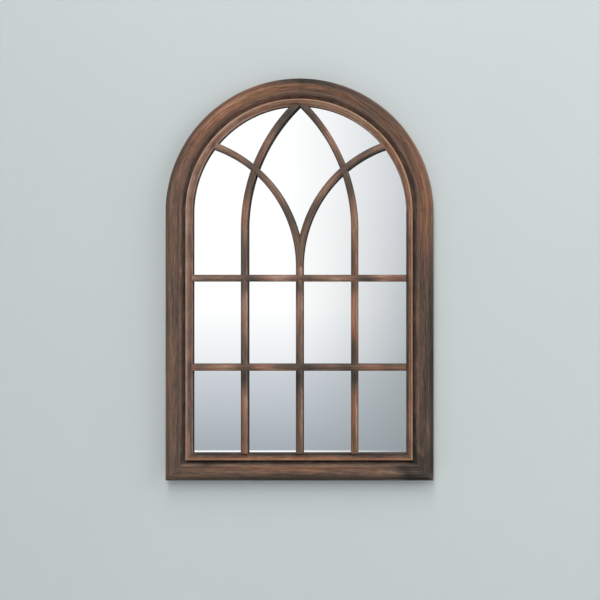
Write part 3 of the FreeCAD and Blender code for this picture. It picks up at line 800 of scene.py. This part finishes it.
class MIRROR_OT_bars(bpy.types.Operator):
    """Dress the tracery bars that lie on the glass"""

    bl_idname = "mirror.bars"
    bl_label = "Tracery bars"

    def execute(self, context):
        sizes = context.scene.mirror_sizes
        colours = context.scene.mirror_colours
        low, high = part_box("left_mullion")
        edge = (high.x - low.x) / 2
        material = brushed_paint(
            # The bars' catch is a little readier on the right of the mullions and the lower half of the
            # transoms, a slight painted light; below the top edge the brush misses the sides, and the
            # near-black there is also painted shade beside the glass.
            "dry_brushed_bronze_bar_paint", colours, dark=colours.soot, span=(-edge, edge), catch=(
                (-edge, 0.49), (-0.7 * edge, 0.53), (0.0, 0.54), (0.7 * edge, 0.55), (edge, 0.5)),
            reach=(sizes.bar_side - 0.8 * mm, sizes.bar_side, 0.85), clouds=0.42)
        meshes = {}
        uprights = {
            "left_mullion": ((1.0, 0.3, 0.1, 0.2), [
                (-52, 22, 0.13), (30, 14, -0.08), (85, 30, 0.14), (164, 26, -0.18), (230, 26, 0.2)]),
            "centre_mullion": ((0.7, 0.3, 0.2), [
                (-30, 22, -0.1), (-75, 25, -0.02), (85, 28, 0.14), (146, 10, 0.12)]),
            "right_mullion": ((1.0, 1.0, 0.7), [
                (-55, 30, 0.16), (30, 16, -0.14), (80, 32, 0.18), (158, 30, -0.06), (223, 35, 0.2)])}
        levels = {
            "lower_transom": ((0.5, 0.5, 0.8), [
                (-110, 20, 0.18), (-80, 14, -0.14), (-49, 16, 0.16), (-5, 22, -0.12), (15, 10, -0.12),
                (72, 14, -0.2), (105, 18, 0.06), (132, 8, -0.1)]),
            "upper_transom": ((0.0, 0.2, 0.6), [
                (-70, 16, -0.14), (-31, 22, 0.18), (8, 12, -0.06), (50, 24, 0.18), (100, 12, -0.14),
                (127, 16, 0.14)])}
        # Each bar has its own lot of paint, so that no two share brush marks.
        for place, (node, (warmth, touches)) in enumerate(uprights.items()):
            meshes[node] = upright_bar(node, lot_gap * place, warmth, touches)
        for place, (node, (warmth, touches)) in enumerate(levels.items()):
            meshes[node] = level_bar(node, 20 + lot_gap * place, warmth, touches)
        for place, (side, way) in enumerate((("left", -1.0), ("right", 1.0))):
            crown_rib = f"{side}_crown_rib"
            y_rib = f"{side}_y_rib"
            crown_centre = Vector((
                way * (abs(middle_of("left_mullion").x) - sizes.crown_rib_radius),
                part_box(crown_rib)[0].z))
            fork_centre = Vector((way * sizes.y_rib_radius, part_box(y_rib)[0].z))
            meeting = circles_cross(crown_centre, sizes.crown_rib_radius, fork_centre, sizes.y_rib_radius)
            meshes[crown_rib] = curved_bar(
                crown_rib, crown_centre, sizes.crown_rib_radius, meeting, 40 + lot_gap * place, (0.6, 0.1),
                [(-75, 28, 0.14), (-26, 20, -0.14), (0, 9, -0.1), (48, 18, 0.1), (98, 26, -0.18)])
            meshes[y_rib] = curved_bar(
                y_rib, fork_centre, sizes.y_rib_radius, meeting, 50 + lot_gap * place, (0.3, 0.2),
                [(-90, 26, -0.12), (-40, 22, 0.08), (0, 12, -0.12), (42, 16, -0.04), (66, 12, 0.1)])
        for node, mesh in meshes.items():
            mesh.materials.append(material)
            dressed(mesh, node, "painted")
        return {"FINISHED"}


# Glass, back and fittings

def finish_nodes(nodes, material):
    """Gives CAD nodes that keep their shape a finish."""
    for node in nodes:
        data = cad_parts[node].data
        data.materials.clear()
        data.materials.append(material)


class MIRROR_OT_glass(bpy.types.Operator):
    """Silver the glass and finish the board behind it"""

    bl_idname = "mirror.glass"
    bl_label = "Glass and back board"

    def execute(self, context):
        finish_nodes(["mirror_glass"], silvered_glass())
        finish_nodes(["back_board"], pressed_hardboard(context.scene.mirror_colours))
        return {"FINISHED"}


def pan_head_screw(sizes):
    """A wood screw with a domed head, before its recess is cut. Its head faces +Y from Y = 0."""
    low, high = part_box("hanger_screws")
    shank = 0.55 * sizes.screw_head
    point = 4 * mm
    dome = 0.7 * mm
    tip = low.y - high.y + sizes.screw_rise
    profile = [(0.0, tip), (shank, tip + point), (shank, 0.0), (sizes.screw_head, 0.0)]
    profile += bow(profile[-1], (0.0, sizes.screw_rise), -dome, steps=8)
    shape = bmesh.new()
    outline = [shape.verts.new((radius, height, 0.0)) for radius, height in profile]
    edges = [shape.edges.new(pair) for pair in zip(outline, outline[1:])]
    bmesh.ops.spin(shape, geom=outline + edges, axis=(0, 1, 0), angle=math.tau, steps=36, use_merge=True)
    bmesh.ops.remove_doubles(shape, verts=shape.verts, dist=0.001 * mm)
    bmesh.ops.recalc_face_normals(shape, faces=shape.faces)
    mesh = bpy.data.meshes.new("pan_head_screw")
    shape.to_mesh(mesh)
    shape.free()
    return mesh


class MIRROR_OT_screws(bpy.types.Operator):
    """Drive the pan-head screws that hold the hangers"""

    bl_idname = "mirror.screws"
    bl_label = "Hanger screws"

    def execute(self, context):
        sizes = context.scene.mirror_sizes
        head = sizes.screw_head
        low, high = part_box("hanger_screws")
        points = []
        for x in (low.x + head, high.x - head):
            for z in (low.z + head, high.z - head):
                points.append((x, high.y - sizes.screw_rise, z))
        places = bpy.data.meshes.new("screw_places")
        places.from_pydata(points, [], [])
        turns = places.attributes.new("turn", "FLOAT_VECTOR", "POINT")
        angles = (12, 57, 34, 78)
        for item, degrees in zip(turns.data, angles):
            item.vector = (0.0, math.radians(degrees), 0.0)
        base = bpy.data.objects.new("screw_places", places)
        screw = bpy.data.objects.new("pan_head_screw", pan_head_screw(sizes))
        context.scene.collection.objects.link(base)
        context.scene.collection.objects.link(screw)
        mesh = grown_mesh(base, screws_tree(), {
            "Screw": screw, "Recess length": 1.1 * head, "Recess width": 0.28 * head,
            "Head rise": sizes.screw_rise, "Finish": plated_steel(context.scene.mirror_colours)})
        soften(mesh, degrees=30)
        dressed(mesh, "hanger_screws", "driven")
        bpy.data.objects.remove(base)
        bpy.data.objects.remove(screw)
        return {"FINISHED"}


class MIRROR_OT_hangers(bpy.types.Operator):
    """Finish the hangers and tabs, the pins and nails inside the frame, and the bumpers"""

    bl_idname = "mirror.hangers"
    bl_label = "Hangers and bumpers"

    def execute(self, context):
        colours = context.scene.mirror_colours
        finish_nodes([
            "left_hanger_strap", "right_hanger_strap", "left_hanger_ring", "right_hanger_ring",
            "corner_nails", "retaining_tabs"], plated_steel(colours))
        finish_nodes(["wall_bumpers"], moulded_rubber(colours))
        finish_nodes(["frame_dowels"], turned_beech(colours))
        return {"FINISHED"}


# Stage

def flat_sheet(name, corner_points, material):
    mesh = bpy.data.meshes.new(name)
    mesh.from_pydata(corner_points, [], [(0, 1, 2, 3)])
    sheet = bpy.data.objects.new(name, mesh)
    sheet.data.materials.append(material)
    bpy.context.scene.collection.objects.link(sheet)
    return sheet


def plaster(settings):
    """Painted plaster that shows from the front only, so that the mirror's back can be seen too."""
    material, tree = new_material("matt_painted_plaster")
    tone = mottled(tree, 500 * mm, 2.0, [(0.2, settings.wall), (0.8, linear("#d6dcdc"))])[1]
    front = add(tree, "ShaderNodeBsdfPrincipled", {
        "Base Color": tone, "Roughness": 0.9, "Specular IOR Level": 0.1})
    behind = add(tree, "ShaderNodeNewGeometry").outputs["Backfacing"]
    clear = add(tree, "ShaderNodeBsdfTransparent")
    return finished(material, add(tree, "ShaderNodeMixShader", {0: behind, 1: front, 2: clear}))


def studio_floor(settings):
    """Smooth pale floor, a little uneven in tone."""
    material, tree = new_material("pale_studio_floor")
    tone = mottled(tree, 1000 * mm / 3, 2.0, [(0.3, settings.floor), (0.7, linear("#dcdede"))])[1]
    shader = add(tree, "ShaderNodeBsdfPrincipled", {"Base Color": tone, "Roughness": 0.8})
    return finished(material, shader)


def reflection_card(settings, camera_place):
    """A soft bright card behind the camera that only reflections show.
    Its colours are laid out by the place on the glass where the camera sees them."""
    setback = 0.8
    side = 3.2
    dim_from = -0.2 * opening_half
    falloff = 1.4
    line_half = 3.3 * mm
    white = linear("#ffffff")
    material, tree = new_material("softbox_cloth")
    ratio = (settings.camera_distance + setback) / settings.camera_distance
    grow = 1 + ratio
    place = add(tree, "ShaderNodeMapping", {
        "Vector": add(tree, "ShaderNodeTexCoord").outputs["Object"],
        "Location": tuple(camera_place * (ratio / grow)), "Scale": (1 / grow, 1 / grow, 1 / grow)})
    spot = add(tree, "ShaderNodeSeparateXYZ", {0: place}).outputs
    across = add(tree, "ShaderNodeMapRange", {
        "Value": spot["X"], "From Min": dim_from, "From Max": opening_half})
    across = add(tree, "ShaderNodeMath", {0: across, 1: falloff}, operation="POWER")
    rise = add(tree, "ShaderNodeMapRange", {
        "Value": spot["Z"], "From Min": opening_bottom, "From Max": opening_top})
    left = set_stops(add(tree, "ShaderNodeValToRGB", {"Fac": rise}), [
        (0.0, linear("#a3abb1")), (0.23, linear("#cbd0d6")), (0.26, linear("#ebecef")), (0.42, white)])
    right = set_stops(add(tree, "ShaderNodeValToRGB", {"Fac": rise}), [
        (0.0, linear("#949a9f")), (0.22, linear("#a3aaae")), (0.3, linear("#b2b8bc")),
        (0.53, linear("#c3c7cb")), (0.75, linear("#cbced3"))])
    # The card carries a painted reflection of a bright line along the foot of the glass, which fades to the
    # right.
    line = add(tree, "ShaderNodeMath", {0: spot["Z"], 1: opening_bottom, 2: line_half}, operation="COMPARE")
    ends = add(tree, "ShaderNodeMath", {0: spot["X"], 1: 0.0, 2: opening_half}, operation="COMPARE")
    line = add(tree, "ShaderNodeMath", {0: line, 1: ends}, operation="MULTIPLY")
    left = add(tree, "ShaderNodeMix", {"Factor": line, 6: left, 7: white}, data_type="RGBA").outputs[2]
    mixed = add(tree, "ShaderNodeMix", {"Factor": across, 6: left, 7: right}, data_type="RGBA").outputs[2]
    glow = add(tree, "ShaderNodeEmission", {"Color": mixed, "Strength": 1.06})
    depth = camera_place.y - setback
    card = flat_sheet("reflection_card", [
        (-side, depth, -side), (side, depth, -side), (side, depth, side), (-side, depth, side)],
        finished(material, glow))
    card.visible_camera = False
    card.visible_diffuse = False
    card.visible_shadow = False
    card.visible_transmission = False


def lamp(name, place, target, size, watts):
    """A soft rectangular lamp that faces its target."""
    data = bpy.data.lights.new(name, "AREA")
    data.shape = "RECTANGLE"
    data.size, data.size_y = size
    data.energy = watts
    light = bpy.data.objects.new(name, data)
    light.location = place
    light.rotation_euler = (Vector(target) - Vector(place)).to_track_quat("-Z", "Y").to_euler()
    bpy.context.scene.collection.objects.link(light)


def pale_surroundings():
    """Even grey light on the object, and a pale background where nothing else is seen."""
    world = bpy.data.worlds.new("pale_surroundings")
    world.use_nodes = True
    tree = world.node_tree
    tree.nodes.clear()
    path = add(tree, "ShaderNodeLightPath").outputs
    seen = add(tree, "ShaderNodeMath", {
        0: path["Is Camera Ray"], 1: path["Is Glossy Ray"]}, operation="MAXIMUM")
    strength = add(tree, "ShaderNodeMapRange", {"Value": seen, "To Min": 0.34, "To Max": 0.95})
    sky = add(tree, "ShaderNodeBackground", {"Color": linear("#d9dede"), "Strength": strength})
    add(tree, "ShaderNodeOutputWorld", {"Surface": sky})
    bpy.context.scene.world = world


class MIRROR_OT_stage(bpy.types.Operator):
    """Set up the wall, the floor, the lamps and the camera"""

    bl_idname = "mirror.stage"
    bl_label = "Stage"

    def execute(self, context):
        settings = context.scene.mirror_stage
        reach = 3.0
        drop = 0.9
        floor_level = bottom - drop
        wall = flat_sheet("wall", [
            (-reach, 0, floor_level), (reach, 0, floor_level), (reach, 0, reach), (-reach, 0, reach)],
            plaster(settings))
        wall.visible_shadow = False
        flat_sheet("floor", [
            (-reach, -reach, floor_level), (reach, -reach, floor_level), (reach, reach, floor_level),
            (-reach, reach, floor_level)], studio_floor(settings))
        # The picture's scale holds at the widest part of the outline.
        front = frame_back - context.scene.mirror_sizes.outer_side
        middle = Vector((settings.picture_side, front, bottom + settings.picture_middle))
        camera_place = Vector((settings.camera_side, front - settings.camera_distance, middle.z))
        data = bpy.data.cameras.new("camera")
        data.sensor_width = 36.0
        data.lens = data.sensor_width * settings.camera_distance / settings.picture_width
        data.shift_x = (middle.x - camera_place.x) / settings.picture_width
        camera = bpy.data.objects.new("camera", data)
        camera.location = camera_place
        camera.rotation_euler = (math.pi / 2, 0.0, 0.0)
        context.scene.collection.objects.link(camera)
        context.scene.camera = camera
        reflection_card(settings, camera_place)
        pale_surroundings()
        lamp("key", (0.0, -2.25, 2.15), middle, size=(1.0, 3.4), watts=66.5)
        lamp("side", (2.7, -1.4, 1.0), middle, size=(2.0, 2.0), watts=32.0)
        lamp("rear_left", (-1.0, 1.6, 0.8), middle, size=(1.1, 1.1), watts=22.0)
        lamp("rear_right", (1.2, 1.4, 0.2), middle, size=(1.1, 1.1), watts=14.0)
        context.scene.view_settings.view_transform = "Standard"
        return {"FINISHED"}


class MIRROR_PT_panel(bpy.types.Panel):
    """Build steps of the mirror"""

    bl_idname = "MIRROR_PT_panel"
    bl_label = "Arched window mirror"
    bl_space_type = "VIEW_3D"
    bl_region_type = "UI"
    bl_category = "Mirror"

    def draw(self, context):
        for operator in operators:
            self.layout.operator(operator.bl_idname)


groups = {"mirror_sizes": MirrorSizes, "mirror_colours": MirrorColours, "mirror_stage": MirrorStage}
operators = (
    MIRROR_OT_frame, MIRROR_OT_bead, MIRROR_OT_bars, MIRROR_OT_glass, MIRROR_OT_hangers, MIRROR_OT_screws,
    MIRROR_OT_stage)
classes = (*groups.values(), *operators, MIRROR_PT_panel)


def register():
    for item in classes:
        bpy.utils.register_class(item)
    for name, group in groups.items():
        setattr(bpy.types.Scene, name, bpy.props.PointerProperty(type=group))


def unregister():
    for name in groups:
        delattr(bpy.types.Scene, name)
    for item in reversed(classes):
        bpy.utils.unregister_class(item)


def main():
    register()
    bpy.ops.mirror.frame()
    bpy.ops.mirror.bead()
    bpy.ops.mirror.bars()
    bpy.ops.mirror.glass()
    bpy.ops.mirror.hangers()
    bpy.ops.mirror.screws()
    bpy.ops.mirror.stage()


if __name__ == "__main__":
    main()
